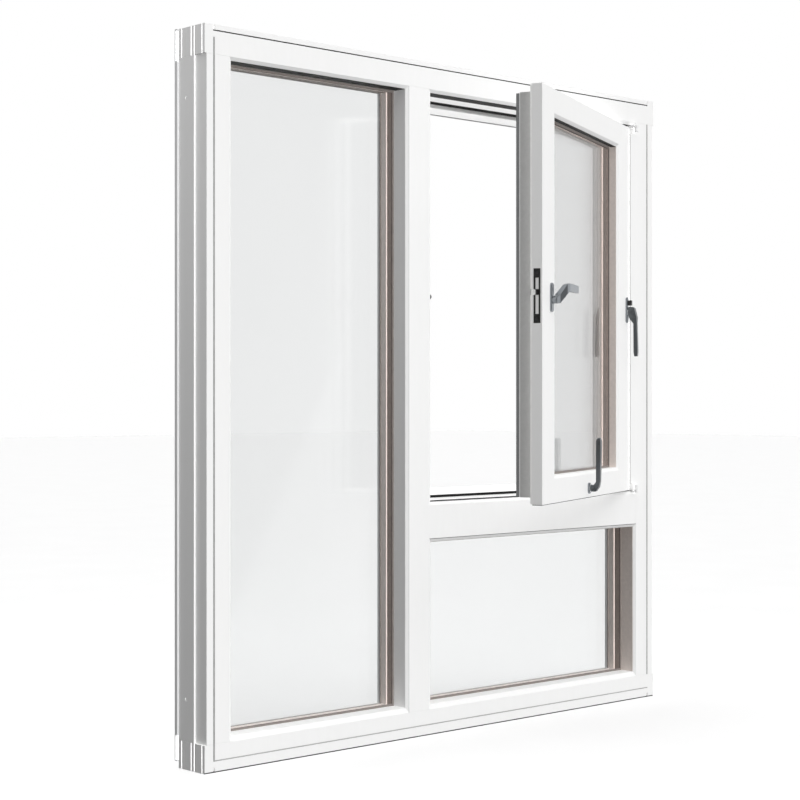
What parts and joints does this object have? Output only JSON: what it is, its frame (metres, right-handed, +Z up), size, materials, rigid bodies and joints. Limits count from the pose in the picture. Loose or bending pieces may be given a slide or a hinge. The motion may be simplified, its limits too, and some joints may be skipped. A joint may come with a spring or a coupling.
{
  "type": "casement window",
  "caption": "Timber window with aluminium-clad outside: a fixed side light, a fixed lower light and an inward-opening casement hung on the right, with levers and a stud lock.",
  "frame": {"origin": "centre of the flat underside of the timber sill, midway along the width and midway through the timber's depth", "axes": "+X to the right as seen from the room (the hinge side), +Y from the room to the outside, +Z up"},
  "size_m": [1.488, 0.3961, 1.58],
  "materials": {
    "painted_timber": "opaque white factory paint, satin",
    "cladding": "powder coated grey, fine texture",
    "glass": "clear float glass",
    "spacer_dark": "dark warm-edge spacer",
    "spacer_light": "light warm-edge spacer",
    "glazing_gasket": "grey glazing gasket",
    "dark_seal": "black sealing rubber",
    "pale_seal": "pale sealing rubber",
    "block_plastic": "dark plastic",
    "lever_grey": "satin grey metal",
    "lever_dark": "dark grey satin",
    "lock_plate": "dark grey plated steel",
    "lock_steel": "plated steel",
    "hinge_paint": "white painted steel"
  },
  "bodies": {
    "frame": {"frame_seal": "dark_seal", "head": "painted_timber", "head_cladding": "cladding", "left_jamb": "painted_timber", "left_jamb_cladding": "cladding", "lower_hinge_frame_leaf": "hinge_paint", "lower_light_inner_gasket": "glazing_gasket", "lower_light_inner_pane": "glass", "lower_light_inner_spacer": "spacer_dark", "lower_light_middle_pane": "glass", "lower_light_middle_spacer": "spacer_light", "lower_light_outer_gasket": "glazing_gasket", "lower_light_outer_pane": "glass", "mullion": "painted_timber", "mullion_cladding": "cladding", "rebate_liner": "dark_seal", "right_jamb": "painted_timber", "right_jamb_cladding": "cladding", "setting_blocks": "block_plastic", "side_light_inner_gasket": "glazing_gasket", "side_light_inner_pane": "glass", "side_light_inner_spacer": "spacer_dark", "side_light_middle_pane": "glass", "side_light_middle_spacer": "spacer_light", "side_light_outer_gasket": "glazing_gasket", "side_light_outer_pane": "glass", "sill": "painted_timber", "sill_cladding": "cladding", "strike_plate": "lock_steel", "strike_screws": "lock_steel", "strike_stud": "lock_steel", "transom": "painted_timber", "transom_cladding": "cladding", "upper_hinge_frame_leaf": "hinge_paint"},
    "sash": {"lock_stile": "painted_timber", "hinge_stile": "painted_timber", "top_rail": "painted_timber", "bottom_rail": "painted_timber", "lock_stile_cladding": "cladding", "hinge_stile_cladding": "cladding", "top_rail_cladding": "cladding", "bottom_rail_cladding": "cladding", "sash_inner_gasket": "glazing_gasket", "sash_inner_pane": "glass", "sash_inner_spacer": "spacer_dark", "sash_middle_pane": "glass", "sash_middle_spacer": "spacer_light", "sash_outer_pane": "glass", "sash_outer_gasket": "glazing_gasket", "perimeter_seal": "pale_seal", "lock_faceplate": "lock_plate", "latch_backplate": "lever_grey", "side_backplate": "lever_dark", "lower_backplate": "lever_dark", "lower_hinge_sash_leaf": "hinge_paint", "upper_hinge_sash_leaf": "hinge_paint"},
    "latch_lever": {"latch_lever": "lever_grey"},
    "side_lever": {"side_lever": "lever_dark"},
    "lower_lever": {"lower_lever": "lever_dark"},
    "lock_bar": {"lock_bar": "lock_steel"}
  },
  "joints": [
    {"name": "sash_hinge", "type": "hinge", "parent": "frame", "child": "sash", "pos_m": [0.661, -0.055, 0], "axis": [0, 0, 1], "range_deg": [-24.4, 65.6]},
    {"name": "latch_turn", "type": "hinge", "parent": "sash", "child": "latch_lever", "pos_m": [0.04345, -0.31427, 1.016], "axis": [-0.4131, 0.9107, 0], "range_deg": [0, 90]},
    {"name": "side_turn", "type": "hinge", "parent": "sash", "child": "side_lever", "pos_m": [0.62619, -0.04992, 1.016], "axis": [-0.4131, 0.9107, 0], "range_deg": [0, 90]},
    {"name": "lower_turn", "type": "hinge", "parent": "sash", "child": "lower_lever", "pos_m": [0.31483, -0.19117, 0.572], "axis": [-0.4131, 0.9107, 0], "range_deg": [0, 90]},
    {"name": "lock_slide", "type": "slide", "parent": "sash", "child": "lock_bar", "axis": [0, 0, 1], "range_m": [0, 0.014]}
  ],
  "couplings": [
    {"joint": "lock_slide", "follows": "latch_turn", "m_per_rad": 0.0089}
  ]
}
